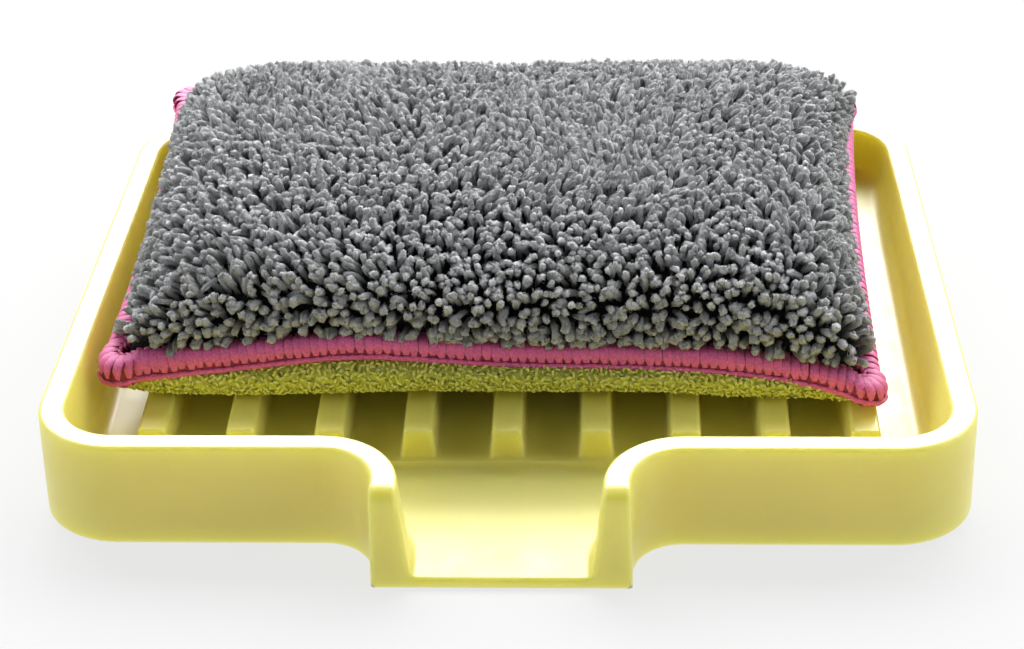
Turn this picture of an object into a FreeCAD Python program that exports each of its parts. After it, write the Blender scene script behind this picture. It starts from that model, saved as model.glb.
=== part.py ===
import FreeCAD, Part
import math
import os

Vector = FreeCAD.Vector

# Tray wall: one moulded silicone piece, all lengths in millimetres
tray_width = 140.0        # across the foot
basin_depth = 110.0       # front to back over the foot, without the spout
wall_height = 16.5
rim_thickness = 3.8
outer_lean = 0.4          # the outer face leans in by this from foot to rim
inner_lean = 1.8          # the inner face leans out by this from foot to rim
corner_radius = 13.0      # outer corners at the foot
rim_round = 0.7           # runs along the rim, down the spout's ends and along the lip

# Drain spout in the middle of the front wall
spout_reach = 10.6        # beyond the front wall
spout_width = 37.6        # outside, at the foot
bend_radius = 7.5         # hollow bend from the front wall into the spout, at the foot
spout_top_round = 2.3     # where the rim turns down at the spout's ends
lip_thickness = 1.5

# Floor: a channel that falls to the lip, and a step up to the ribbed bed, which drains forwards
channel_rise = 1.2
bed_front = 16.2          # from the front of the foot to the step
bed_step = 0.9
bed_rise = 5.6            # the bed climbs by this to the back of the basin
channel_cove = 1.2        # hollow round along the channel's edges, also up the step
bed_cove = 2.5            # hollow round between bed and wall

# Ribs that carry the sponge, as steep as the bed
rib_count = 9
rib_width = 4.35          # at the top
rib_flank = 0.55          # each flank leans out by this from top to foot
rib_drop = 7.9            # from the rim down to the ribs' front ends
rib_setback = 0.7         # the ribs start this far behind the step
rib_ledge = 7.4           # from the outermost ribs' feet to the side walls
rib_back_gap = 9.5        # from the ribs' rear ends to the rear wall
rib_round = 0.7
rib_cove = 0.6            # hollow round at the ribs' feet

# Where the sponge lies, and the room that the tray leaves round it
sponge_room = 10.6        # spare width inside the rim
sponge_offset = 3.0       # the sponge lies this far left of the tray's middle
sponge_front = 24.3       # from the front of the tray's foot to the sponge's edge
sponge_rear_margin = 1.0  # from the sponge's rear edge to the back of the tray's foot
seat_gap = 0.3            # between the sponge and the ribs
edge_corner = 5.5         # corner radius of the stitched edge
edge_draw = 1.3           # the edges draw in by this between the corners

# Stitched edge
edging_width = 4.1
edging_height = 4.0
edging_round = 1.6
flange_thickness = 0.8    # one cover's raw edge inside the stitches
flange_cover = 1.5        # thread between the raw edge and the outside
thread_diameter = 0.9
fit_gap = 0.1             # between pieces of the sponge

# Covers and foam
pile_crown = 16.0         # from the seam to the top of the pile
pile_thickness = 5.0
clump_pitch = 7.7         # between the clumps of the pile
clump_rise = 2.2          # over the pile between the clumps
clump_radius = 3.7
clump_margin = 7.0        # from the covers' edge to the outermost clumps' middles
mesh_crown = 6.7          # from the seam to the underside
mesh_thickness = 1.2
belly_reach = 1.95        # the lower cover stands out by this at the sides, under the edging
belly_rear = 0.25         # and by this at the rear, which leaves twice the reach less this in front
belly_round = 1.5         # along its upper and lower edges
lining_round_share = 0.2  # rounds inside the lower cover, over its outer rounds
side_thickness = 1.2      # either cover, beside the seam
crown_run_share = 0.68    # from the covers' edge to the flat of the crown, over half the covers' depth
crown_corner_share = 0.42  # largest corner radius of the crown, over half the covers' depth

# One overrun for all cuts, and how near an edge must be to a place to be found there
overrun = 5.0
tolerance = 0.01

# Crown sections, each a share of the crown's height, of its run and of its corner radius
pile_shares = ((0, 0, 0.3), (0.14, 0, 0.3), (0.28, -0.012, 0.4), (0.46, 0.012, 0.6), (0.62, 0.07, 0.8),
               (0.75, 0.16, 0.95), (0.87, 0.34, 1), (0.96, 0.66, 0.85), (1, 1, 0.6))
foam_shares = ((0, 0, 0.25), (0.2, 0.01, 0.25), (0.45, 0.06, 0.45), (0.65, 0.14, 0.65), (0.82, 0.29, 0.8),
               (0.94, 0.6, 0.75), (1, 1, 0.5))

# The origin is under the middle of the tray, spout included
front_y = (spout_reach - basin_depth) / 2
back_y = front_y + basin_depth
spout_y = front_y - spout_reach
bed_y = front_y + bed_front
channel_height = lip_thickness + channel_rise
bed_height = channel_height + bed_step
bed_slope = bed_rise / (back_y - bed_y)
drain_angle = math.atan(bed_slope)
rib_top = wall_height - rib_drop
rib_lean = rib_flank / (rib_top - bed_height)
rib_start = bed_y + rib_setback
cover_inset = edging_width + fit_gap
sponge_length = tray_width - 2 * (outer_lean + rim_thickness) - sponge_room
sponge_depth = (basin_depth - sponge_front - sponge_rear_margin) / math.cos(drain_angle)
cover_reach = sponge_depth / 2 - cover_inset
crown_run = crown_run_share * cover_reach
crown_corner = crown_corner_share * cover_reach
belly_top = edging_height / 2 + fit_gap
lining_round = lining_round_share * belly_round


def line(start, end):
    return Part.LineSegment(start, end).toShape()


def arc(centre, radius, start_angle, end_angle):
    """Arc about a vertical axis, between two angles in degrees."""
    points = []
    for angle in (start_angle, (start_angle + end_angle) / 2, end_angle):
        turn = math.radians(angle)
        points.append(centre + Vector(radius * math.cos(turn), radius * math.sin(turn), 0))
    return Part.Arc(*points).toShape()


def ends(edge):
    first, last = edge.ParameterRange
    return edge.valueAt(first), edge.valueAt(last)


def joined(arcs):
    """The given arcs in order, with straight runs between them."""
    edges = arcs[:1]
    for curve in arcs[1:]:
        edges += [line(ends(edges[-1])[1], ends(curve)[0]), curve]
    return edges


def wall_outline(inset, height, end_y):
    """Outline of basin and spout at a height, moved inwards by inset, with the spout cut square at end_y."""
    half = tray_width / 2 - inset
    corner = corner_radius - inset
    bend = bend_radius + inset
    spout = spout_width / 2 - inset
    front = front_y + inset + corner
    back = back_y - inset - corner
    side = half - corner
    hollow_x = spout + bend
    hollow_y = front_y + inset - bend
    arcs = [
        arc(Vector(hollow_x, hollow_y, height), bend, 180, 90),
        arc(Vector(side, front, height), corner, 270, 360),
        arc(Vector(side, back, height), corner, 0, 90),
        arc(Vector(-side, back, height), corner, 90, 180),
        arc(Vector(-side, front, height), corner, 180, 270),
        arc(Vector(-hollow_x, hollow_y, height), bend, 90, 0),
    ]
    left, right = Vector(-spout, end_y, height), Vector(spout, end_y, height)
    spout_end = [line(ends(arcs[-1])[1], left), line(left, right), line(right, ends(arcs[0])[0])]
    return Part.Wire(joined(arcs) + spout_end)


def inner_inset(height):
    """How far the wall's inner face lies inside the foot's outline at a height."""
    return outer_lean + rim_thickness + inner_lean * (wall_height - height) / wall_height


def edges_where(shape, wanted):
    """Edges whose middle and ends all pass a test of position."""
    chosen = []
    for edge in shape.Edges:
        first, last = edge.ParameterRange
        points = [edge.valueAt(value) for value in (first, (first + last) / 2, last)]
        if all(wanted(point) for point in points):
            chosen.append(edge)
    return chosen


def close(value, target):
    return abs(value - target) < tolerance


def channel_floor(y):
    """Height of the floor in front of the ribbed bed."""
    return lip_thickness + channel_rise * (y - spout_y) / (bed_y - spout_y)


def bed_floor(y):
    """Height of the ribbed bed."""
    return bed_height + bed_slope * (y - bed_y)


def space_over(floor, stop_y, cove):
    """Space inside the wall above a sloping floor, open at the top and through the spout."""
    start_y = spout_y - overrun
    top = wall_height + overrun
    low = wall_outline(inner_inset(0), 0, start_y)
    high = wall_outline(inner_inset(top), top, start_y)
    side_view = [
        Vector(-tray_width, start_y, floor(start_y)),
        Vector(-tray_width, stop_y, floor(stop_y)),
        Vector(-tray_width, stop_y, top),
        Vector(-tray_width, start_y, top),
    ]
    slice_face = Part.Face(Part.makePolygon(side_view + side_view[:1]))
    slice_block = slice_face.extrude(Vector(2 * tray_width, 0, 0))
    space = Part.makeLoft([low, high], True, True).common(slice_block)
    foot = edges_where(space, lambda p: close(p.z, floor(p.y)))
    return space.makeFillet(cove, [edge for edge in foot if edge.BoundBox.YMax > spout_y])


def rib(middle_x):
    """One rib with leaning flanks and rounded edges, whose crest climbs with the bed."""
    rib_stop = back_y - inner_inset(rib_top) - rib_back_gap
    sections = []
    for share in (0, 1):
        corners = []
        for side, y in ((-1, rib_start), (1, rib_start), (1, rib_stop), (-1, rib_stop)):
            crest = rib_top + bed_slope * (y - rib_start)
            spread = rib_width / 2 + rib_lean * crest * (1 - share)
            corners.append(Vector(middle_x + side * spread, y, crest * share))
        sections.append(Part.makePolygon(corners + corners[:1]))
    bar = Part.makeLoft(sections, True, True)
    upright = edges_where(bar, lambda p: close(p.y, rib_start) or close(p.y, rib_stop))
    upright = [edge for edge in upright if edge.BoundBox.ZLength > rib_width]
    crest_edges = edges_where(bar, lambda p: close(p.z, rib_top + bed_slope * (p.y - rib_start)))
    return bar.makeFillet(rib_round, upright + crest_edges)


def walled_basin():
    """Wall, floor and spout, with rounded rim and spout ends."""
    foot = wall_outline(0, 0, spout_y)
    rim = wall_outline(outer_lean, wall_height, spout_y)
    block = Part.makeLoft([foot, rim], True, True)
    channel = space_over(channel_floor, bed_y, channel_cove)
    bed = space_over(bed_floor, back_y + overrun, bed_cove)
    basin = block.cut(channel.fuse(bed))
    tops = edges_where(basin, lambda p: close(p.y, spout_y) and close(p.z, wall_height))
    basin = basin.makeFillet(spout_top_round, tops)
    level_y = spout_y + spout_top_round + tolerance
    rims = edges_where(basin, lambda p: close(p.z, wall_height) and p.y > level_y)
    return basin.makeFillet(rim_round, rims)


def drip_tray():
    last_x = tray_width / 2 - inner_inset(bed_height) - rib_ledge - rib_flank - rib_width / 2
    rib_pitch = 2 * last_x / (rib_count - 1)
    ribs = [rib(last_x - rib_pitch * index) for index in range(rib_count)]
    tray = walled_basin().multiFuse(ribs).removeSplitter()
    reach = last_x + rib_width
    bed_end = back_y - inner_inset(rib_top) - rib_back_gap / 2
    feet = edges_where(tray, lambda p: close(p.z, bed_floor(p.y)) and bed_y + tolerance < p.y < bed_end
                       and abs(p.x) < reach)
    return tray.makeFillet(rib_cove, feet)


def corner_centre(half_length, half_depth, corner):
    """Centre of the corner round that runs smoothly into two sides which bow inwards."""
    long_bow = half_length ** 2 / (2 * edge_draw)
    short_bow = half_depth ** 2 / (2 * edge_draw)
    x, y = half_length - corner, half_depth - corner
    for _ in range(40):
        x = half_length - edge_draw + short_bow - math.sqrt((short_bow + corner) ** 2 - y ** 2)
        y = half_depth - edge_draw + long_bow - math.sqrt((long_bow + corner) ** 2 - x ** 2)
    return x, y, long_bow, short_bow


def edge_outline(inset, height, corner):
    """Outline of the sponge, moved inwards by inset, starting in the middle of its front side."""
    half_length = sponge_length / 2 - inset
    half_depth = sponge_depth / 2 - inset
    x, y, long_bow, short_bow = corner_centre(half_length, half_depth, corner)
    long_y = half_depth - edge_draw + long_bow
    short_x = half_length - edge_draw + short_bow
    long_turn = math.degrees(math.atan2(x, long_y - y))
    short_turn = math.degrees(math.atan2(y, short_x - x))
    front, back = Vector(0, -long_y, height), Vector(0, long_y, height)
    right, left = Vector(short_x, 0, height), Vector(-short_x, 0, height)
    return Part.Wire([
        arc(front, long_bow, 90, 90 - long_turn),
        arc(Vector(x, -y, height), corner, 270 - long_turn, 360 + short_turn),
        arc(right, short_bow, 180 + short_turn, 180 - short_turn),
        arc(Vector(x, y, height), corner, -short_turn, 90 + long_turn),
        arc(back, long_bow, 270 + long_turn, 270 - long_turn),
        arc(Vector(-x, y, height), corner, 90 - long_turn, 180 + short_turn),
        arc(left, short_bow, short_turn, -short_turn),
        arc(Vector(-x, -y, height), corner, 180 - short_turn, 270 + long_turn),
        arc(front, long_bow, 90 + long_turn, 90),
    ])


def half_pillow(shares, crown, inset):
    """Solid from the seam up to a crown."""
    sections = []
    for height_share, run_share, corner_share in shares:
        run = crown_run * run_share
        sections.append(edge_outline(inset + run, crown * height_share, crown_corner * corner_share))
    return Part.makeLoft(sections, True, False)


def lower_pillow(inset, top, depth, rounding):
    """Solid from the seam to the underside: a neck inside the edging and a belly under it."""
    neck = slab(inset, -(top + depth) / 2, 0)
    belly = slab(inset - belly_reach, -depth, -top)
    belly.translate(Vector(0, belly_rear - belly_reach, 0))
    rims = edges_where(belly, lambda p: close(p.z, -top) or close(p.z, -depth))
    return neck.fuse(belly.makeFillet(rounding, rims))


def slab(inset, low, high):
    """Flat plate with the sponge's outline."""
    return Part.Face(edge_outline(inset, low, edge_corner)).extrude(Vector(0, 0, high - low))


def flange(low, high):
    """Raw edge of a cover: a flat ring from inside the cover's side into the stitches."""
    return slab(flange_cover, low, high).cut(slab(cover_inset + side_thickness / 2, low, high))


def clump(pillow, x, y):
    """One rounded clump of pile on top of a pillow."""
    upright = line(Vector(x, y, 0), Vector(x, y, pile_crown))
    top = pillow.common(upright).BoundBox.ZMax
    return Part.makeSphere(clump_radius, Vector(x, y, top + clump_rise - clump_radius))


def clumped(pillow):
    """The pillow with clumps of pile in rows, every other row half a step aside."""
    reach_x = sponge_length / 2 - cover_inset - clump_margin
    reach_y = cover_reach - clump_margin
    columns = int(2 * reach_x / clump_pitch)
    rows = int(2 * reach_y / (clump_pitch * math.cos(math.radians(30))))
    clumps = []
    for row in range(rows + 1):
        aside = row % 2
        y = reach_y * (2 * row / rows - 1)
        for column in range(columns + 1 - aside):
            x = reach_x * ((2 * column + aside) / columns - 1)
            clumps.append(clump(pillow, x, y))
    return pillow.multiFuse(clumps)


def pile_cover():
    outside = clumped(half_pillow(pile_shares, pile_crown - clump_rise, cover_inset))
    inside = half_pillow(foam_shares, pile_crown - pile_thickness, cover_inset + side_thickness)
    return outside.cut(inside).fuse(flange(0, flange_thickness)).removeSplitter()


def mesh_cover():
    outside = lower_pillow(cover_inset, belly_top, mesh_crown, belly_round)
    lining_top = belly_top + mesh_thickness
    lining_depth = mesh_crown - mesh_thickness
    inside = lower_pillow(cover_inset + side_thickness, lining_top, lining_depth, lining_round)
    return outside.cut(inside).fuse(flange(-flange_thickness, 0)).removeSplitter()


def foam_core():
    inset = cover_inset + side_thickness + fit_gap
    lining = mesh_thickness + fit_gap
    upper = half_pillow(foam_shares, pile_crown - pile_thickness - fit_gap, inset)
    lower = lower_pillow(inset, belly_top + lining, mesh_crown - lining, lining_round)
    return upper.fuse(lower)


def swept(section, path):
    """Closed ring: a section carried along the sponge's outline."""
    return path.makePipeShell([section], True, True)


def overlock_edging():
    """Threads wrapped round both raw edges: a rounded ring with a slot on its inner side."""
    front = edge_draw - sponge_depth / 2
    top = edging_height / 2
    corner = Vector(0, front, -top)
    flat = Part.makePlane(edging_width, edging_height, corner, Vector(1, 0, 0), Vector(0, 1, 0))
    section = flat.Wires[0]
    ring = swept(section, edge_outline(0, 0, edge_corner))
    corners = edges_where(ring, lambda p: close(abs(p.z), top))
    corners = [edge for edge in corners if edge.BoundBox.ZLength < top and edge.Length > edging_width]
    ring = ring.makeFillet(edging_round, corners)
    slot = slab(flange_cover - fit_gap, -flange_thickness, flange_thickness)
    return ring.cut(slot)


def needle_thread():
    """Line of needle thread along the top of the edging."""
    inset = edging_width / 2
    height = (edging_height + thread_diameter) / 2 + fit_gap
    start = Vector(0, edge_draw + inset - sponge_depth / 2, height)
    section = Part.Wire(Part.makeCircle(thread_diameter / 2, start, Vector(1, 0, 0)))
    return swept(section, edge_outline(inset, height, edge_corner))


def resting_place():
    """Middle of the sponge's seam as its underside lies along the ribs."""
    above = mesh_crown + seat_gap
    middle_y = front_y + sponge_front + sponge_depth / 2 * math.cos(drain_angle)
    foot_y = middle_y + above * math.sin(drain_angle)
    crest = rib_top + bed_slope * (foot_y - bed_y - rib_setback)
    return Vector(-sponge_offset, middle_y, crest + above * math.cos(drain_angle))


def laid_down(shape):
    shape.rotate(Vector(0, 0, 0), Vector(1, 0, 0), math.degrees(drain_angle))
    shape.translate(resting_place())
    return shape


os.makedirs("parts", exist_ok=True)
nodes = {"drip_tray": drip_tray()}
for make in (foam_core, pile_cover, mesh_cover, overlock_edging, needle_thread):
    nodes[make.__name__] = laid_down(make())
for name, shape in nodes.items():
    shape.exportStep(f"parts/{name}.step")
    box = shape.BoundBox
    print(name, shape.isValid(), len(shape.Solids), round(shape.Volume), [round(v, 2) for v in (
        box.XMin, box.XMax, box.YMin, box.YMax, box.ZMin, box.ZMax)])
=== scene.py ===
import math

import bpy
import numpy as np
from mathutils import Matrix, Vector


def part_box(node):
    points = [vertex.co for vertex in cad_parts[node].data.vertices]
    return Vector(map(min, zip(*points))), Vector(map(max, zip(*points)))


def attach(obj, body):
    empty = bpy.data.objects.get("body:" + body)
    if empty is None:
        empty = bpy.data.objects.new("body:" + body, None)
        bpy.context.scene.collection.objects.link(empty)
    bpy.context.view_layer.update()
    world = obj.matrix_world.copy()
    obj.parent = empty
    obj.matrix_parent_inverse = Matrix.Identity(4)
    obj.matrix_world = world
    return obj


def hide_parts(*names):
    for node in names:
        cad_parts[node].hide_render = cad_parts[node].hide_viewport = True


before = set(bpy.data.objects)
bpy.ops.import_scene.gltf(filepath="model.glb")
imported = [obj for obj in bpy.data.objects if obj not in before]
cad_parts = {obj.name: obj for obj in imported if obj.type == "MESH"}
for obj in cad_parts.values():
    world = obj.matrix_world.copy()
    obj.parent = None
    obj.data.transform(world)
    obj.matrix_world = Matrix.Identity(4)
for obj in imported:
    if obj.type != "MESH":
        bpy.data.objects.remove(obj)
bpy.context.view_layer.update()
chance = np.random.default_rng(11)
mm = 0.001

# Camera, fitted to the edges of the tray in the photograph
camera_place = Vector((13.5, -313.4, 194.6)) * mm
camera_yaw = 0.04396
camera_pitch = 0.53673    # downwards
camera_roll = 0.02219
camera_lens = 78.03
sensor_width = 36
nearest_view = 10 * mm

# Sponge: its seam plane leans back with the ribs
bed_rise = 5.6 * mm
bed_run = 93.8 * mm
drain_angle = math.atan(bed_rise / bed_run)
edging_width = 4.1 * mm
edging_height = 4.0 * mm
edge_corner = 5.5 * mm    # corner radius of the outline
edge_draw = 1.3 * mm      # the sides draw in by this between the corners
cover_inset = 4.2 * mm    # from the edging's outside to the covers
backing_crown = 11.2 * mm  # the pile's cloth over the seam
backing_run = 25.0 * mm   # from its edge to the flat of its crown
mesh_crown = 6.3 * mm
mesh_run = 2.6 * mm
mesh_bulge = 6.8 * mm     # the lower cover stands out under the front edging
side_bulge_share = 0.42
front_bulge_share = 0.54  # towards the corners
corner_tag = 1.8 * mm     # the edging stands out at the corners
swell_cap = 1.2 * mm
foam_depth = 0.5 * mm     # under both covers
right_flare = 3.0 * mm    # the right side stands out towards the rear
corner_forward = 3.2 * mm  # and its front corner forwards
left_side_draw = 0.4 * mm  # the pile's body stands back from the left edging
left_rear_draw = 2.2 * mm
left_front_draw = 6.0 * mm
front_draw = 3.4 * mm     # and from both front corners
right_rear_lean = 6.5 * mm  # its rear right corner hangs over the edging
right_side_lean = -1.3 * mm
right_front_lean = -2.4 * mm
corner_slump = 2.0 * mm   # its rear corners hang
lean_height = 4.5 * mm    # the lean is complete at this height
crown_power = 2.2         # how flat the crowns are, and how steep their sides
side_power = 0.25
swell_start_share = 0.15  # of a side's height, where the lower cover starts to stand out
swell_run_share = 0.25
swell_end_power = 30
side_rings = 11           # grid lines over the steep sides of the covers
grid_pitch = 3 * mm       # between the other grid lines
cloth_pressure = 4
cloth_frames = 20
foam_share = 0.985        # the foam's outline, over that of the covers

# Wave of the stitched edge, from the flat seam plane
front_droop = 0.9 * mm
corner_droop = 3.1 * mm   # further down at both front corners
right_droop = 1.0 * mm    # more of that on the right, and less on the left
hump_height = 1.95 * mm   # in front, left of the middle
hump_place_share = -0.33
hump_width_share = 0.27
rear_left_lift = 1.6 * mm
wave_start_share = 0.35   # the front's wave starts this far behind the middle

# Pile: tufts that lean with a swirl
tuft_spacing = 0.92 * mm
tuft_length = 4.5 * mm
tuft_radius = 0.52 * mm
core_round = 7            # points round a tuft
strands_each = 9
strand_width = 0.14 * mm
strand_twist = 0.22
stray_share = 0.15        # of the strands, which stand out further than the others
far_reach_shares = (0.4, 1.0)
near_reach_shares = (0.02, 0.3)
core_lump_share = 0.25    # unevenness of a tuft, over its radius
core_width_shares = (0.85, 1.15)
core_depth_shares = (0.8, 1.1)
pile_pieces = 10
bare_height = 1.8 * mm    # no tuft grows nearer to the seam
tip_height = 1.9 * mm     # no tip hangs nearer to the seam
tip_scatter = 0.6 * mm
tuft_lean = 0.3           # with the swirl, on top
tuft_hang = 0.25          # downwards, on the sides
tuft_scatter = 0.28
tuft_length_shares = (0.86, 1.08)
tuft_radius_shares = (0.8, 1.2)
side_shortening_share = 0.2
side_growth_share = 0.45  # tufts on the sides are thicker
knee_share = 0.5          # of a tuft's length, where it bends
clump_share = 0.25        # of the tips, to which the others draw near
clump_pull_share = 0.14
side_pull_share = 0.1
top_shade_lift_share = 0.66       # the top's tufts show this much of their tips' shade down to the root: the painted root shade is lifted on top
# Each wave of the swirl: a bend in radians, its waves over x and y in radians a millimetre, and its start
swirl_waves = ((1.9, 1 / 17, 0, 0.6), (1.6, -1 / 31, 1 / 13, math.pi / 2), (0.8, 1 / 9, 1 / 9, 0))
swirl_start = -1.6
tries_each = 6            # random places tried for each that is kept

# Loops of the scrub cloth
loop_spacing = 0.66 * mm
loop_height = 0.66 * mm
loop_radius = 0.21 * mm
loop_pieces = 4
loop_reach_shares = (0.45, 0.75)
loop_height_shares = (0.7, 1.0)
loop_radius_shares = (0.8, 1.2)
loop_shades = (0.45, 1.0)
loop_steps = 5            # points along a loop
loop_round = 5            # and round it

# Threads of the stitched edge
edging_boxiness = 2.7     # 2 is an ellipse
corner_steps = 24         # points along a corner of the outline
outline_points = 400      # for measuring the outline
wrap_pitch = 1.38 * mm
wrap_depth = 0.17 * mm
wrap_round = 8
wrap_slant = 0.35         # over the pitch, from end to end
wrap_turn_scatter = 0.03
wrap_slant_scatter = 0.06
wrap_width_shares = (0.9, 1.08)
wrap_taper_places = (0, 0.12, 0.88, 1)
wrap_taper_shares = (0.75, 1, 1, 0.5)
upper_start = math.radians(168)
upper_steps = 18
upper_width_share = 1.24  # over the pitch
lower_end = math.radians(-165)
lower_gap = 0.1           # radians under the purl line
lower_steps = 12
lower_width_share = 1.28
core_points = 12
core_depth = 1.5 * wrap_depth
purl_angle = math.radians(-2)
purl_drop = 0.27          # radians, the chain lies under the wraps' ends
purl_swing = 0.05
purl_steps = 8            # points for each wrap
purl_sink = 0.05 * mm
purl_shade = 0.8
tall_corner = 0.24        # the edging is this much taller at the front left corner
stitch_length = 1.15 * mm
stitch_angle = math.radians(138)
stitch_steps = 6
stitch_sink = 0.35 * mm   # at a stitch's ends
stitch_proud = 0.12 * mm
stitch_shade = 0.9
thread_radius = 0.3 * mm
purl_radius = 0.4 * mm
thread_round = 6          # points round the chain and the stitches

# Stage, in metres
floor_reach = 3.0
shade_half_width = 58 * mm  # the floor doesn't glow under the tray
shade_front = -44 * mm
shade_back = 54 * mm
light_target = (0, 0, 0.02)
cool = (0.84, 0.92, 1.0)

edging_low, edging_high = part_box("overlock_edging")
seam_middle = np.array((edging_low + edging_high) / 2)
half_length = (edging_high.x - edging_low.x) / 2
half_depth = (edging_high.y - edging_low.y) / 2


def seam_wave(x, y):
    """Height of the wavy stitched edge over the flat seam plane, from a place on that plane."""
    across, deep = x / half_length, y / half_depth
    front = np.clip((wave_start_share - deep) / (1 + wave_start_share), 0, 1) ** 2
    droop = -front_droop - (corner_droop + right_droop * across) * across ** 4
    hump = hump_height * np.exp(-((across - hump_place_share) / hump_width_share) ** 2)
    rear_left = rear_left_lift * np.clip(-across, 0, 1) ** 6 * np.clip(deep, 0, 1) ** 2
    return (droop + hump) * front + rear_left


def flared(x, y):
    """A place on the seam plane, with the right side spread at the rear and its front corner forwards."""
    right = np.clip(x / half_length, 0, 1)
    rear = np.clip((y / half_depth + 1) / 2, 0, 1)
    return x + right_flare * right * rear, y - corner_forward * right ** 4 * (1 - rear) ** 2


def to_frame(points):
    """From the sponge's own axes, with its seam plane level, to the part's frame."""
    turn = Matrix.Rotation(drain_angle, 3, "X")
    return np.asarray(points) @ np.array(turn).T + seam_middle


def unit(vectors):
    return vectors / np.maximum(np.linalg.norm(vectors, axis=-1, keepdims=True), 1e-12)


def make_piece(name, points, faces, material, body, nodes=()):
    """New smooth mesh piece on a body, standing for CAD nodes."""
    mesh = bpy.data.meshes.new(name)
    mesh.from_pydata(np.asarray(points).tolist(), [], [list(face) for face in faces])
    mesh.shade_smooth()
    mesh.materials.append(material)
    piece = bpy.data.objects.new(name, mesh)
    bpy.context.scene.collection.objects.link(piece)
    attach(piece, body)
    if nodes:
        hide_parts(*nodes)
    return piece


def add_shade(piece, name, values):
    """Number on each point that a material reads as an attribute."""
    attribute = piece.data.attributes.new(name, "FLOAT", "POINT")
    attribute.data.foreach_set("value", np.asarray(values, np.float32).ravel())


# Materials
def start_material(name, roughness):
    material = bpy.data.materials.new(name)
    material.use_nodes = True
    shader = material.node_tree.nodes["Principled BSDF"]
    shader.inputs["Roughness"].default_value = roughness
    return material, shader


def add_node(material, kind, **settings):
    node = material.node_tree.nodes.new(kind)
    for name, value in settings.items():
        setattr(node, name, value)
    return node


def link(material, source, target):
    material.node_tree.links.new(source, target)


def noise(material, scale, detail=3.0):
    place = add_node(material, "ShaderNodeTexCoord")
    texture = add_node(material, "ShaderNodeTexNoise")
    texture.inputs["Scale"].default_value = scale
    texture.inputs["Detail"].default_value = detail
    link(material, place.outputs["Object"], texture.inputs["Vector"])
    return texture.outputs["Fac"]


def ramp(material, source, stops):
    """Colours along a number, each stop a place and a colour."""
    node = add_node(material, "ShaderNodeValToRGB")
    elements = node.color_ramp.elements
    while len(elements) < len(stops):
        elements.new(0.5)
    for element, (place, colour) in zip(elements, stops):
        element.position = place
        element.color = (*colour, 1)
    link(material, source, node.inputs["Fac"])
    return node.outputs["Color"]


def blend(material, kind, share, first, second):
    node = add_node(material, "ShaderNodeMix", data_type="RGBA", blend_type=kind)
    node.inputs["Factor"].default_value = share
    link(material, first, node.inputs["A"])
    link(material, second, node.inputs["B"])
    return node.outputs["Result"]


def bump(material, shader, height, strength, distance):
    node = add_node(material, "ShaderNodeBump")
    node.inputs["Strength"].default_value = strength
    node.inputs["Distance"].default_value = distance
    link(material, height, node.inputs["Height"])
    link(material, node.outputs["Normal"], shader.inputs["Normal"])


def attribute(material, name):
    return add_node(material, "ShaderNodeAttribute", attribute_name=name).outputs["Fac"]


def silicone_material():
    material, shader = start_material("silicone_yellow", roughness=0.36)
    tone = ramp(material, noise(material, scale=45),
                [(0.3, (0.76, 0.69, 0.175)), (0.7, (0.80, 0.725, 0.195))])
    link(material, tone, shader.inputs["Base Color"])
    gloss = ramp(material, noise(material, scale=350), [(0.3, (0.33,) * 3), (0.7, (0.42,) * 3)])
    link(material, gloss, shader.inputs["Roughness"])
    shader.inputs["IOR"].default_value = 1.5
    shader.inputs["Subsurface Weight"].default_value = 0.8
    shader.inputs["Subsurface Radius"].default_value = (1.0, 0.94, 0.32)
    shader.inputs["Subsurface Scale"].default_value = 7 * mm
    bump(material, shader, noise(material, scale=2600, detail=4), strength=0.12, distance=0.05 * mm)
    return material


def pile_material():
    material, shader = start_material("grey_pile", roughness=0.95)
    # painted shade: tufts darken towards their roots, as shade falls between them
    painted_depth_shade = ramp(material, attribute(material, "tip"),
                 [(0.0, (0.006,) * 3), (0.4, (0.1,) * 3), (0.75, (0.54,) * 3), (1.0, (0.88,) * 3)])
    # tone attribute: tones that differ at random, darkened on the steep sides as painted shade
    tone = ramp(material, attribute(material, "tone"), [(0.0, (0.66,) * 3), (1.0, (1.0,) * 3)])
    mottle = ramp(material, noise(material, scale=3600, detail=6), [(0.35, (0.66,) * 3), (0.65, (1.0,) * 3)])
    colour = blend(material, "MULTIPLY", 1, painted_depth_shade, tone)
    link(material, blend(material, "MULTIPLY", 1, colour, mottle), shader.inputs["Base Color"])
    shader.inputs["Specular IOR Level"].default_value = 0.2
    shader.inputs["Sheen Weight"].default_value = 0.25
    shader.inputs["Sheen Roughness"].default_value = 0.6
    bump(material, shader, noise(material, scale=3800, detail=6), strength=0.9, distance=0.25 * mm)
    return material


def backing_material():
    material, shader = start_material("pile_backing_painted_shade", roughness=0.95)
    # painted shade: the backing is near black so the gaps between the tufts look shadowed
    painted_shade_weave = ramp(material, noise(material, scale=1800, detail=4), [(0.3, (0.006,) * 3), (0.7, (0.03,) * 3)])
    link(material, painted_shade_weave, shader.inputs["Base Color"])
    bump(material, shader, noise(material, scale=1800, detail=4), strength=0.8, distance=0.3 * mm)
    return material


def foam_material():
    material, shader = start_material("foam_cream", roughness=0.9)
    cells = ramp(material, noise(material, scale=1400, detail=5),
                 [(0.35, (0.42, 0.36, 0.2)), (0.6, (0.75, 0.68, 0.45))])
    link(material, cells, shader.inputs["Base Color"])
    bump(material, shader, noise(material, scale=1400, detail=5), strength=0.7, distance=0.4 * mm)
    return material


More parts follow.
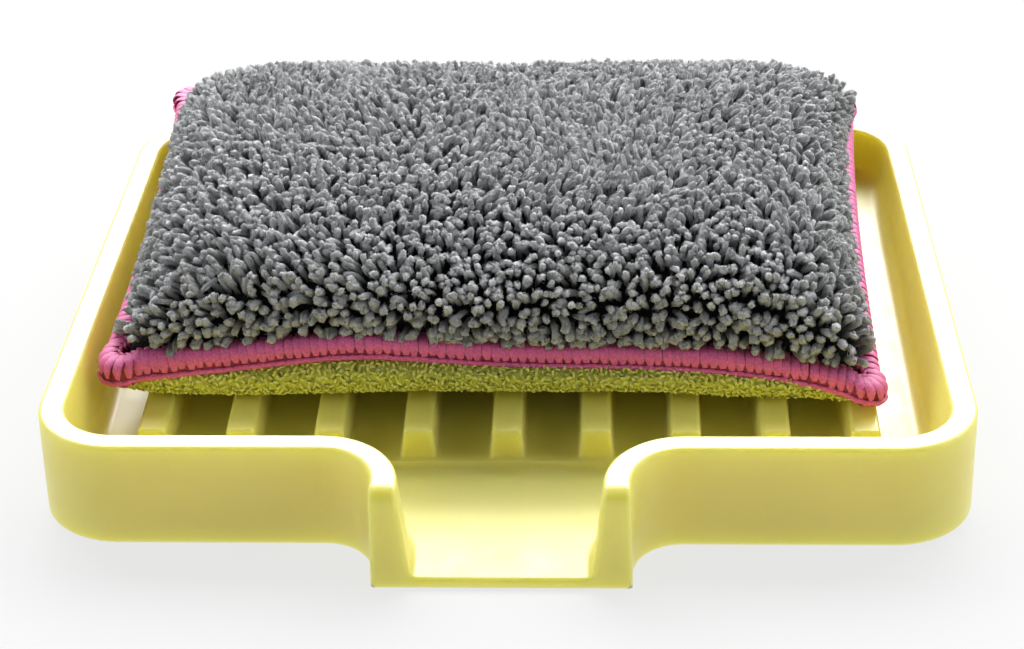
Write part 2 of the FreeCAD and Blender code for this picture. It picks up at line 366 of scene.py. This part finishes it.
def mesh_material():
    material, shader = start_material("green_scrub_mesh", roughness=0.7)
    # painted shade: the cloth and the loops' feet are darker and the loop tops lighter, as shade falls
    # between the loops
    painted_depth_shade = ramp(material, attribute(material, "tip"),
                 [(0.0, (0.66, 0.66, 0.10)), (0.5, (0.76, 0.76, 0.14)), (1.0, (0.9, 0.9, 0.26))])
    mottle = ramp(material, noise(material, scale=1300, detail=3),
                  [(0.36, (0.4, 0.43, 0.3)), (0.46, (1.0, 1.0, 1.0))])
    link(material, blend(material, "MULTIPLY", 1, painted_depth_shade, mottle), shader.inputs["Base Color"])
    shader.inputs["Sheen Weight"].default_value = 0.15
    bump(material, shader, noise(material, scale=4200, detail=5), strength=0.7, distance=0.15 * mm)
    return material


def thread_material(name, painted_shade_colour, light):
    material, shader = start_material(name, roughness=0.62)
    # painted shade: the threads darken to the first colour where the wraps meet and on the core between them
    lay_with_painted_shade = ramp(material, attribute(material, "tip"), [(0.0, painted_shade_colour), (0.55, light), (1.0, light)])
    fibres = ramp(material, noise(material, scale=3000, detail=5), [(0.3, (0.68,) * 3), (0.65, (1.0,) * 3)])
    link(material, blend(material, "MULTIPLY", 1, lay_with_painted_shade, fibres), shader.inputs["Base Color"])
    shader.inputs["Sheen Weight"].default_value = 0.15
    shader.inputs["Sheen Roughness"].default_value = 0.4
    bump(material, shader, noise(material, scale=5200, detail=4), strength=0.6, distance=0.12 * mm)
    return material


def floor_material(name, glow):
    material, shader = start_material(name, roughness=0.75)
    tone = ramp(material, noise(material, scale=6), [(0.3, (0.12,) * 3), (0.7, (0.13,) * 3)])
    link(material, tone, shader.inputs["Base Color"])
    shader.inputs["Specular IOR Level"].default_value = 0.1
    shader.inputs["Emission Color"].default_value = (1, 1, 1, 1)
    shader.inputs["Emission Strength"].default_value = glow
    return material


# Covers: a grid over the sponge, with close lines where the sides stand steep
def grid_lines(half, run, rings, pitch):
    edge = half - run * (np.arange(rings) / rings) ** 3
    middle = np.linspace(-(half - run), half - run, int(2 * (half - run) / pitch) + 2)
    return np.concatenate([-edge, middle, edge[::-1]])


def rise(distance, run):
    """Share of the crown at a distance from the seam: steep sides under a flat top."""
    share = np.clip(distance / run, 0, 1)
    return (1 - (1 - share) ** crown_power) ** side_power


def swelling(share):
    """How far a side stands out of the seam line, over its height: most of it just past the edging."""
    start = np.clip((share - swell_start_share) / swell_run_share, 0, 1)
    return start ** 2 * (3 - 2 * start) * (1 - share ** swell_end_power)


def cover_points(xs, ys, crown, run, bulge):
    """Points of one cover as a grid, drawn in along its sides between the corners."""
    x, y = np.meshgrid(xs, ys, indexing="ij")
    half_x, half_y = xs.max(), ys.max()
    share_x, share_y = rise(half_x - np.abs(x), run), rise(half_y - np.abs(y), run)
    wide = x * (1 - edge_draw / half_x * (1 - (y / half_y) ** 2))
    deep = y * (1 - edge_draw / half_y * (1 - (x / half_x) ** 2))
    share = share_x * share_y
    height = seam_wave(wide, deep) * (1 - share) + crown * share
    wide = wide + np.sign(x) * bulge * side_bulge_share * swelling(share_x) * share_y
    fullness = bulge * (front_bulge_share + (1 - front_bulge_share) * (1 - (x / half_x) ** 4))
    deep = deep - (y < 0) * fullness * swelling(share_y) * share_x
    wide, deep = flared(wide, deep)
    return np.stack([wide, deep, height], axis=-1)


def leaned(points):
    """The pile's body, leaned off its seam. The powers keep each shift near its own corner."""
    x, y, z = np.moveaxis(points, -1, 0)
    share = np.clip(z / lean_height, 0, 1)
    right = np.clip((x / half_length + 1) / 2, 0, 1)
    rear = np.clip((y / half_depth + 1) / 2, 0, 1)
    left_shift = left_side_draw + left_front_draw * (1 - rear) ** 5 + left_rear_draw * rear ** 10
    right_shift = right_side_lean + right_front_lean * (1 - rear) ** 5 + right_rear_lean * rear ** 6
    shift = left_shift * (1 - right) + right_shift * right
    back = front_draw * ((1 - right) ** 3 + right ** 4) * (1 - rear)
    slump = corner_slump * ((1 - right) ** 4 + right ** 6) * rear ** 4
    return np.stack([x + shift * share, y + back * share, z - slump * share], axis=-1)


def grid_faces(rows, columns, flip=False):
    first = (np.arange(rows - 1)[:, None] * columns + np.arange(columns - 1)).ravel()
    faces = np.stack([first, first + columns, first + columns + 1, first + 1], axis=1)
    return faces[:, ::-1] if flip else faces


def grid_normals(grid):
    along = np.gradient(grid, axis=0)
    across = np.gradient(grid, axis=1)
    return unit(np.cross(along, across))


def swell(points, faces, pinned):
    """The closed pillow blown up a little as cloth, held along its seam."""
    mesh = bpy.data.meshes.new("pillow")
    mesh.from_pydata(points.tolist(), [], faces.tolist())
    pillow = bpy.data.objects.new("pillow", mesh)
    bpy.context.scene.collection.objects.link(pillow)
    pillow.vertex_groups.new(name="seam").add([int(index) for index in pinned], 1, "REPLACE")
    cloth = pillow.modifiers.new("cloth", "CLOTH")
    cloth.settings.vertex_group_mass = "seam"
    cloth.settings.use_pressure = True
    cloth.settings.uniform_pressure_force = cloth_pressure
    cloth.settings.effector_weights.gravity = 0
    cloth.point_cache.frame_end = cloth_frames
    for step in range(1, cloth_frames + 1):
        bpy.context.scene.frame_set(step)
    settled = pillow.evaluated_get(bpy.context.evaluated_depsgraph_get()).to_mesh()
    moved = np.array([vertex.co for vertex in settled.vertices])
    bpy.data.objects.remove(pillow)
    bpy.context.scene.frame_set(1)
    shift = moved - points
    size = np.linalg.norm(shift, axis=1, keepdims=True)
    return points + shift * np.minimum(1, swell_cap / np.maximum(size, 1e-9))


def soft_covers():
    """Grids of the upper and the lower cover in the sponge's own axes, after the cloth has settled."""
    xs = grid_lines(half_length - cover_inset, backing_run, side_rings, grid_pitch)
    ys = grid_lines(half_depth - cover_inset, backing_run, side_rings, grid_pitch)
    upper = leaned(cover_points(xs, ys, backing_crown, backing_run, 0))
    lower = cover_points(xs, ys, -mesh_crown, mesh_run, mesh_bulge)
    rows, columns = len(xs), len(ys)
    count = rows * columns
    rim = np.ones((rows, columns), bool)
    rim[1:-1, 1:-1] = False
    below = np.arange(count, 2 * count)
    below[rim.ravel()] = np.arange(count)[rim.ravel()]
    faces = np.concatenate([grid_faces(rows, columns), below[grid_faces(rows, columns, True)]])
    points = np.concatenate([upper.reshape(-1, 3), lower.reshape(-1, 3)])
    moved = swell(points, faces, np.flatnonzero(rim))
    upper = moved[:count].reshape(upper.shape)
    lower = moved[count:].reshape(lower.shape)
    lower[rim] = upper[rim]
    lower[..., 2] = np.maximum(lower[..., 2], -mesh_crown)
    return upper, lower


def scatter(grid, spacing):
    """Evenly spread places on a grid surface with their normals."""
    a, b, c, d = (grid[:-1, :-1], grid[1:, :-1], grid[1:, 1:], grid[:-1, 1:])
    area = np.linalg.norm(np.cross(c - a, d - b), axis=-1).ravel() / 2
    tries = int(tries_each * area.sum() / spacing ** 2)
    cell = chance.choice(area.size, tries, p=area / area.sum())
    u, v = chance.random((2, tries, 1))
    corners = [part.reshape(-1, 3)[cell] for part in (a, b, c, d)]
    normal = grid_normals(grid)
    slopes = [part.reshape(-1, 3)[cell] for part in
              (normal[:-1, :-1], normal[1:, :-1], normal[1:, 1:], normal[:-1, 1:])]
    weights = [(1 - u) * (1 - v), u * (1 - v), u * v, (1 - u) * v]
    places = sum(part * weight for part, weight in zip(corners, weights))
    normals = unit(sum(part * weight for part, weight in zip(slopes, weights)))
    kept, taken = [], {}
    for index, place in enumerate(places):
        key = tuple((place // spacing).astype(int))
        near = [taken[other] for other in neighbours(key) if other in taken]
        if all(np.linalg.norm(places[other] - place) > spacing for group in near for other in group):
            taken.setdefault(key, []).append(index)
            kept.append(index)
    return places[kept], normals[kept]


def neighbours(key):
    steps = (-1, 0, 1)
    return [(key[0] + x, key[1] + y, key[2] + z) for x in steps for y in steps for z in steps]


def tubes(centres, sides, outs, widths, depths, points_round):
    """Flattened tubes along many paths, each point with a centre, two axes and two half sizes."""
    turn = np.linspace(0, 2 * np.pi, points_round, endpoint=False)
    ring = (sides[..., None, :] * (widths[..., None] * np.cos(turn))[..., None]
            + outs[..., None, :] * (depths[..., None] * np.sin(turn))[..., None])
    points = centres[..., None, :] + ring
    count, steps = centres.shape[:2]
    start = (np.arange(count) * steps * points_round)[:, None, None]
    along = (np.arange(steps - 1) * points_round)[None, :, None]
    here = np.arange(points_round)[None, None, :]
    after = (here + 1) % points_round
    base = start + along
    ahead = base + points_round
    faces = np.stack([base + here, base + after, ahead + after, ahead + here], -1)
    return points.reshape(-1, 3), faces.reshape(-1, 4)


def any_side(directions):
    """A unit vector square to each direction."""
    helper = np.where(np.abs(directions[..., 2:]) < 0.9, [0.0, 0.0, 1.0], [1.0, 0.0, 0.0])
    return unit(np.cross(directions, helper))


def lean_field(places):
    """Slow swirl in which the pile lies."""
    x, y = places[:, 0] / mm, places[:, 1] / mm
    angle = swirl_start + sum(bend * np.sin(x * along_x + y * along_y + start)
                              for bend, along_x, along_y, start in swirl_waves)
    return np.stack([np.cos(angle), np.sin(angle), np.zeros_like(angle)], axis=-1)


def lay_tufts(grid):
    """Root, knee and tip of each tuft. Tips lean with the swirl, hang on the sides and gather in clumps."""
    roots, normals = scatter(grid, tuft_spacing)
    over_seam = roots[:, 2] - seam_wave(roots[:, 0], roots[:, 1])
    roots, normals = roots[over_seam > bare_height], normals[over_seam > bare_height]
    count = len(roots)
    steepness = 1 - np.clip(normals[:, 2:], 0, 1)
    lean = tuft_lean * lean_field(roots) * (1 - steepness) + np.array([0, 0, -tuft_hang]) * steepness
    heading = unit(normals + lean + chance.normal(0, tuft_scatter, (count, 3)))
    length = (tuft_length * chance.uniform(*tuft_length_shares, (count, 1))
              * (1 - side_shortening_share * steepness))
    tips = roots + heading * length
    centres = tips[chance.random(count) < clump_share]
    nearest = np.array([np.argmin(((centres - tip) ** 2).sum(1)) for tip in tips])
    tips += (clump_pull_share + side_pull_share * steepness) * (centres[nearest] - tips)
    lowest = seam_wave(tips[:, 0], tips[:, 1]) + tip_height + chance.normal(0, tip_scatter, count)
    tips[:, 2] = np.maximum(tips[:, 2], lowest)
    return roots, roots + normals * length * knee_share, tips, steepness


def along_tufts(roots, knees, tips, share):
    """Points along each tuft's bend, with two axes square to it."""
    share = np.asarray(share)[None, :, None]
    points = ((1 - share) ** 2 * roots[:, None] + 2 * share * (1 - share) * knees[:, None]
              + share ** 2 * tips[:, None])
    direction = unit((1 - share) * (knees - roots)[:, None] + share * (tips - knees)[:, None])
    side = any_side(direction)
    return points, side, np.cross(direction, side)


def tuft_cores(bends, sizes):
    """Lumpy drop inside each tuft."""
    shares = np.array([0, 0.3, 0.55, 0.74, 0.87, 0.95, 0.99, 1])
    bulge = np.array([0.45, 0.72, 0.94, 1, 0.9, 0.66, 0.34, 0.02])
    spine, side, out = along_tufts(*bends, shares)
    wide = sizes * bulge * chance.uniform(*core_width_shares, spine.shape[:2])
    thick = sizes * bulge * chance.uniform(*core_depth_shares, spine.shape[:2])
    points, faces = tubes(spine, side, out, wide, thick, core_round)
    lumps = (chance.normal(0, core_lump_share, (points.shape[0], 1))
             * np.repeat(sizes, len(shares) * core_round, 0))
    middles = np.repeat(spine.reshape(-1, 3), core_round, 0)
    points = points + unit(points - middles) * lumps
    tip = np.broadcast_to(shares[None, :, None], (*spine.shape[:2], core_round))
    return points, faces, tip.ravel()


def tuft_strands(bends, sizes):
    """Ribbons of fibres laid round each tuft, a few of which stray outwards."""
    shares = np.array([0.4, 0.7, 0.9, 1.02])
    bulge = np.array([0.82, 1.02, 0.9, 0.3])
    drift = np.array([0, 0.15, 0.5, 0.9]) * mm
    taper = np.array([0.8, 1, 0.75, 0.2])
    spine, side, out = (part[:, None] for part in along_tufts(*bends, shares))
    count, steps = len(sizes), len(shares)
    each = (count, strands_each, 1)
    turn = (chance.uniform(0, 2 * np.pi, (*each, 1))
            + chance.normal(0, strand_twist, (count, strands_each, steps, 1)))
    strays = chance.random(each) < stray_share
    stray = np.where(strays, chance.uniform(*far_reach_shares, each),
                     chance.uniform(*near_reach_shares, each))
    reach = sizes[:, :, None] * bulge + stray * drift
    outward = side * np.cos(turn) + out * np.sin(turn)
    across = out * np.cos(turn) - side * np.sin(turn)
    middle = spine + outward * reach[..., None]
    half = strand_width / 2 * taper[:, None]
    points = np.stack([middle - across * half, middle + across * half], axis=3).reshape(-1, 3)
    strand, step = np.arange(count * strands_each)[:, None, None], np.arange(steps - 1)[None, :, None]
    faces = (2 * (strand * steps + step) + np.array([0, 1, 3, 2])).reshape(-1, 4)
    tip = np.broadcast_to(shares[None, :, None], (count * strands_each, steps, 2))
    return points, faces, np.clip(tip, 0, 1).ravel()


def add_pile(grid, material, backing):
    """Grey pile: a backing cloth painted near black as shade between the tufts, and its tufts, in a few
    pieces from left to right.
    """
    make_piece("pile_backing", to_frame(grid.reshape(-1, 3)), grid_faces(*grid.shape[:2]), backing,
               "sponge", ["pile_cover"])
    roots, knees, tips, steepness = lay_tufts(grid)
    for number, chosen in enumerate(np.array_split(np.argsort(roots[:, 0]), pile_pieces)):
        count, steep = len(chosen), steepness[chosen]
        bends = roots[chosen], knees[chosen], tips[chosen]
        sizes = (tuft_radius * chance.uniform(*tuft_radius_shares, (count, 1))
                 * (1 + side_growth_share * steep))
        points, faces, tip = tuft_cores(bends, sizes)
        hair, ribbons, hair_tip = tuft_strands(bends, sizes)
        # painted shade at the tufts' roots, lifted on top
        top_shade_lift = top_shade_lift_share * (1 - steep)
        shades = [(top_shade_lift + (1 - top_shade_lift) * part.reshape(count, -1)).ravel() for part in (tip, hair_tip)]
        # painted shade: tufts on the steep sides get darker tones than those on top, as light falls from
        # above; on top the tones differ at random
        light = 1 - steep[:, 0]
        core_tones_and_side_shade = np.repeat(chance.random(count) * light, len(points) // count)
        strands = count * strands_each
        hair_tones_and_side_shade = np.repeat(chance.random(strands) * np.repeat(light, strands_each), len(hair) // strands)
        piece = make_piece(f"pile_tufts_{number + 1}", to_frame(np.concatenate([points, hair])),
                           np.concatenate([faces, ribbons + len(points)]), material,
                           "sponge", ["pile_cover"])
        add_shade(piece, "tip", np.concatenate(shades))
        add_shade(piece, "tone", np.concatenate([core_tones_and_side_shade, hair_tones_and_side_shade]))


def add_scrub_mesh(grid, material):
    """Knitted underside: a cloth with small thread loops standing on it."""
    cloth = make_piece("scrub_cloth", to_frame(grid.reshape(-1, 3)), grid_faces(*grid.shape[:2], True),
                       material, "sponge", ["mesh_cover"])
    # painted shade: the cloth between the loops takes the dark end of the colours
    add_shade(cloth, "tip", np.full(len(cloth.data.vertices), 0.0))
    roots, normals = scatter(grid[:, ::-1], loop_spacing)
    count = len(roots)
    side = any_side(normals)
    turn = chance.uniform(0, 2 * np.pi, (count, 1))
    along = side * np.cos(turn) + np.cross(normals, side) * np.sin(turn)
    reach = loop_spacing * chance.uniform(*loop_reach_shares, (count, 1))
    height = loop_height * chance.uniform(*loop_height_shares, (count, 1)) - loop_radius
    arch = np.linspace(0, np.pi, loop_steps)[None, :, None]
    path = (roots[:, None] - along[:, None] * reach[:, None] * np.cos(arch)
            + normals[:, None] * height[:, None] * np.sin(arch))
    direction = unit(np.gradient(path, axis=1))
    across = np.broadcast_to(np.cross(along, normals)[:, None], path.shape)
    radius = np.full((count, loop_steps), loop_radius) * chance.uniform(*loop_radius_shares, (count, 1))
    outward = np.cross(direction, across)
    # painted shade: each loop is darker at its feet, with a random tone
    tip = np.sin(arch) * chance.uniform(*loop_shades, (count, 1, 1)) * np.ones((1, 1, loop_round))
    for number, chosen in enumerate(np.array_split(np.argsort(roots[:, 0]), loop_pieces)):
        points, faces = tubes(path[chosen], across[chosen], outward[chosen],
                              radius[chosen], radius[chosen], loop_round)
        loops = make_piece(f"scrub_loops_{number + 1}", to_frame(points), faces, material, "sponge",
                           ["mesh_cover"])
        add_shade(loops, "tip", tip[chosen])


# Stitched edge
def edge_path(count):
    """Places along the sponge's outline, evenly spaced, with their outward directions on the seam plane."""
    corner_x, corner_y = half_length - edge_corner, half_depth - edge_corner
    points = []
    for quarter in range(4):
        turn = np.linspace(0, np.pi / 2, corner_steps) + quarter * np.pi / 2
        centre_x = corner_x * (1 if quarter in (0, 3) else -1)
        centre_y = corner_y * (1 if quarter in (0, 1) else -1)
        points.append(np.stack([centre_x + edge_corner * np.cos(turn),
                                centre_y + edge_corner * np.sin(turn)], 1))
    outline = np.concatenate(points + [points[0][:1]])
    gaps = np.linalg.norm(np.diff(outline, axis=0), axis=1)
    travel = np.concatenate([[0], np.cumsum(gaps)])
    even = np.linspace(0, travel[-1], count, endpoint=False)
    x, y = np.interp(even, travel, outline[:, 0]), np.interp(even, travel, outline[:, 1])
    draw_x = 1 - edge_draw / half_length * (1 - np.clip(y / corner_y, -1, 1) ** 2)
    draw_y = 1 - edge_draw / half_depth * (1 - np.clip(x / corner_x, -1, 1) ** 2)
    path = np.stack(flared(x * draw_x, y * draw_y), 1)
    ahead = np.roll(path, -1, axis=0) - np.roll(path, 1, axis=0)
    out = unit(np.stack([ahead[:, 1], -ahead[:, 0]], 1))
    past_x, past_y = np.clip(np.abs(x) - corner_x, 0, None), np.clip(np.abs(y) - corner_y, 0, None)
    corner_share = 2 * past_x * past_y / edge_corner ** 2
    return path + out * (corner_tag * corner_share)[:, None], out, travel[-1]


def wrap_count():
    """How many wraps go round the sponge."""
    return int(edge_path(outline_points)[2] / wrap_pitch)


def edge_section(angle, shrink):
    """Place on the rounded section of the edging: outwards from its outer line, and up."""
    power = 2 / edging_boxiness
    across, tall = np.cos(angle), np.sin(angle)
    out = np.sign(across) * np.abs(across) ** power * (edging_width / 2 - shrink) - edging_width / 2
    up = np.sign(tall) * np.abs(tall) ** power * (edging_height / 2 - shrink)
    return out, up


def on_edge(path, out, shift, angle, shrink):
    """Points on the edging for places along it and angles round it, with a shift along the edge."""
    ahead = np.stack([-out[..., 1], out[..., 0]], -1)
    away, up = edge_section(angle, shrink)
    flat = path + out * away[..., None] + ahead * shift[..., None]
    left, front = np.clip(-flat[..., 0] / half_length, 0, 1), np.clip(-flat[..., 1] / half_depth, 0, 1)
    height = seam_wave(flat[..., 0], flat[..., 1]) + up * (1 + tall_corner * left ** 2 * front)
    return np.concatenate([flat, height[..., None]], -1)


def wraps(count, path, out, first_angle, last_angle, steps, thickness, width):
    """Satin threads laid side by side round the edge from one angle to another."""
    angle = (np.linspace(first_angle, last_angle, steps)[None, :]
             + chance.normal(0, wrap_turn_scatter, (count, 1)))
    shift = (wrap_pitch * wrap_slant * np.linspace(-0.5, 0.5, steps)[None, :]
             + chance.normal(0, wrap_slant_scatter, (count, 1)) * wrap_pitch)
    there = path[:, None].repeat(steps, 1), out[:, None].repeat(steps, 1)
    centres = on_edge(*there, shift, angle, thickness)
    outer = on_edge(*there, shift, angle, 0)
    direction = unit(np.gradient(centres, axis=1))
    away = unit(outer - centres)
    side = unit(np.cross(direction, away))
    taper = np.interp(np.linspace(0, 1, steps), wrap_taper_places, wrap_taper_shares)
    widths = width / 2 * taper[None, :] * chance.uniform(*wrap_width_shares, (count, 1))
    depths = np.full((count, steps), thickness) * taper[None, :]
    points, faces = tubes(centres, side, np.cross(side, direction), widths, depths, wrap_round)
    # painted shade: 0 at the wraps' edges, where they meet their neighbours, 1 on their crests
    crest = np.abs(np.sin(np.linspace(0, 2 * np.pi, wrap_round, endpoint=False)))
    return points, faces, np.broadcast_to(crest, (count, steps, wrap_round))


def add_edging(material):
    """Two rows of satin wraps that meet in a purl line low on the outer edge, over a filled core."""
    count = wrap_count()
    path, out, _ = edge_path(count)
    rows = [("overlock_upper", upper_start, purl_angle, upper_steps, upper_width_share),
            ("overlock_lower", purl_angle - lower_gap, lower_end, lower_steps, lower_width_share)]
    for name, first, last, steps, width_share in rows:
        width = wrap_pitch * width_share
        points, faces, crest = wraps(count, path, out, first, last, steps, wrap_depth, width)
        piece = make_piece(name, to_frame(points), faces, material, "sponge",
                           ["overlock_edging"])
        add_shade(piece, "tip", crest)
    around = np.broadcast_to(np.linspace(0, 2 * np.pi, core_points, endpoint=False), (count, core_points))
    there = path[:, None].repeat(core_points, 1), out[:, None].repeat(core_points, 1)
    core = on_edge(*there, np.zeros((count, core_points)), around, core_depth)
    ring = np.arange(count)[:, None] * core_points + np.arange(core_points)
    after = np.roll(ring, -1, axis=0)
    faces = np.stack([ring, after, np.roll(after, -1, axis=1), np.roll(ring, -1, axis=1)], -1).reshape(-1, 4)
    filling = make_piece("overlock_core", to_frame(core.reshape(-1, 3)), faces, material, "sponge",
                         ["overlock_edging"])
    # painted shade: the core between the wraps takes the dark colour
    add_shade(filling, "tip", np.zeros(count * core_points))
    add_purl(material, count)


def add_purl(material, count):
    """Thin chain along the purl line that dips between the wraps."""
    steps = count * purl_steps
    path, out, _ = edge_path(steps)
    swing = np.sin(np.arange(steps) * 2 * np.pi / purl_steps)
    angle = purl_angle - purl_drop + purl_swing * swing
    still = np.zeros(steps)
    line = on_edge(path, out, still, angle, purl_sink)
    away = unit(on_edge(path, out, still, angle, 0) - on_edge(path, out, still, angle, wrap_depth))
    closed = np.concatenate([line, line[:1]])[None]
    away = np.concatenate([away, away[:1]])[None]
    direction = unit(np.gradient(closed, axis=1))
    side = unit(np.cross(direction, away))
    size = np.full(closed.shape[:2], purl_radius)
    points, faces = tubes(closed, side, np.cross(side, direction), size, size, thread_round)
    chain = make_piece("overlock_purl", to_frame(points), faces, material, "sponge",
                       ["overlock_edging"])
    add_shade(chain, "tip", np.full(len(points), purl_shade))


def add_needle_stitches(material):
    """Short stitches along the inner top of the edging."""
    count = wrap_count()
    path, out, _ = edge_path(count)
    share = np.linspace(-0.5, 0.5, stitch_steps)
    shift = np.broadcast_to(share * stitch_length, (count, stitch_steps))
    angle = np.full((count, stitch_steps), stitch_angle)
    there = path[:, None].repeat(stitch_steps, 1), out[:, None].repeat(stitch_steps, 1)
    sink = stitch_sink * (2 * share) ** 4
    line = on_edge(*there, shift, angle, -stitch_proud)
    line[..., 2] -= sink[None, :]
    direction = unit(np.gradient(line, axis=1))
    side = any_side(direction)
    size = thread_radius * np.sqrt(np.clip(1 - (2 * share) ** 6, 0.02, 1))[None, :].repeat(count, 0)
    points, faces = tubes(line, side, np.cross(side, direction), size, size, thread_round)
    stitches = make_piece("needle_stitches", to_frame(points), faces, material, "sponge",
                          ["needle_thread"])
    add_shade(stitches, "tip", np.full(len(points), stitch_shade))


def add_foam(upper, lower, material):
    """Foam block inside both covers."""
    inside = np.array([foam_share, foam_share, 1])
    top = (upper - grid_normals(upper) * foam_depth) * inside
    bottom = (lower + grid_normals(lower) * foam_depth) * inside
    rows, columns = top.shape[:2]
    points = np.concatenate([top.reshape(-1, 3), bottom.reshape(-1, 3)])
    faces = np.concatenate([grid_faces(rows, columns), grid_faces(rows, columns, True) + rows * columns])
    foam = make_piece("foam_block", to_frame(points), faces, material, "sponge", ["foam_core"])


# Stage
def add_floor(material, shaded):
    """Pale floor that glows a little, except under the tray."""
    reach, wide, front, back = floor_reach, shade_half_width, shade_front, shade_back
    outer = [(-reach, -reach, 0), (reach, -reach, 0), (reach, reach, 0), (-reach, reach, 0)]
    inner = [(-wide, front, 0), (wide, front, 0), (wide, back, 0), (-wide, back, 0)]
    faces = [(0, 1, 5, 4), (1, 2, 6, 5), (2, 3, 7, 6), (3, 0, 4, 7), (4, 5, 6, 7)]
    mesh = bpy.data.meshes.new("floor")
    mesh.from_pydata(outer + inner, [], faces)
    mesh.materials.append(material)
    mesh.materials.append(shaded)
    mesh.polygons[4].material_index = 1
    floor = bpy.data.objects.new("floor", mesh)
    bpy.context.scene.collection.objects.link(floor)


def add_softbox(name, place, size, power, colour=(1, 1, 1)):
    data = bpy.data.lights.new(name, "AREA")
    data.color = colour
    data.shape = "RECTANGLE"
    data.size, data.size_y = size
    data.energy = power
    light = bpy.data.objects.new(name, data)
    bpy.context.scene.collection.objects.link(light)
    light.location = place
    light.rotation_mode = "QUATERNION"
    light.rotation_quaternion = (Vector(light_target) - Vector(place)).to_track_quat("-Z", "Y")
    return light


def add_camera():
    data = bpy.data.cameras.new("camera")
    data.sensor_width = sensor_width
    data.lens = camera_lens
    data.clip_start = nearest_view
    camera = bpy.data.objects.new("camera", data)
    bpy.context.scene.collection.objects.link(camera)
    turn = (Matrix.Rotation(camera_yaw, 4, "Z") @ Matrix.Rotation(math.pi / 2 - camera_pitch, 4, "X")
            @ Matrix.Rotation(-camera_roll, 4, "Z"))
    camera.matrix_world = Matrix.Translation(camera_place) @ turn
    bpy.context.scene.camera = camera


def add_world(strength):
    world = bpy.data.worlds.new("studio")
    world.use_nodes = True
    sky = world.node_tree.nodes["Background"]
    sky.inputs["Color"].default_value = (1, 1, 1, 1)
    sky.inputs["Strength"].default_value = strength
    bpy.context.scene.world = world


add_camera()
bpy.context.scene.view_settings.view_transform = "Standard"
add_world(strength=0.11)
add_softbox("key_softbox", place=(0.05, 0.77, 0.8), size=(2.4, 0.68), power=34)
add_softbox("front_fill", place=(0.0, -1.0, 0.4), size=(1.4, 0.4), power=0.3, colour=cool)
add_softbox("left_fill", place=(-1.05, -0.1, 0.5), size=(0.8, 0.5), power=4.2, colour=cool)
add_softbox("right_fill", place=(1.05, -0.1, 0.5), size=(0.8, 0.5), power=4.2, colour=cool)
gloss_box = add_softbox("back_gloss_box", place=(0.08, 0.8, 0.56), size=(1.1, 0.5), power=30)
gloss_box.visible_diffuse = False
add_floor(floor_material("pale_floor", glow=0.74), floor_material("shaded_floor", glow=0))

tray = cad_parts["drip_tray"]
tray.data.materials.clear()
tray.data.materials.append(silicone_material())

upper_cover, lower_cover = soft_covers()
add_foam(upper_cover, lower_cover, foam_material())
add_pile(upper_cover, pile_material(), backing_material())
add_scrub_mesh(lower_cover, mesh_material())
add_edging(thread_material("pink_looper_thread", painted_shade_colour=(0.38, 0.03, 0.10), light=(0.96, 0.17, 0.45)))
add_needle_stitches(thread_material("pink_needle_thread", painted_shade_colour=(0.32, 0.02, 0.07), light=(0.86, 0.16, 0.36)))
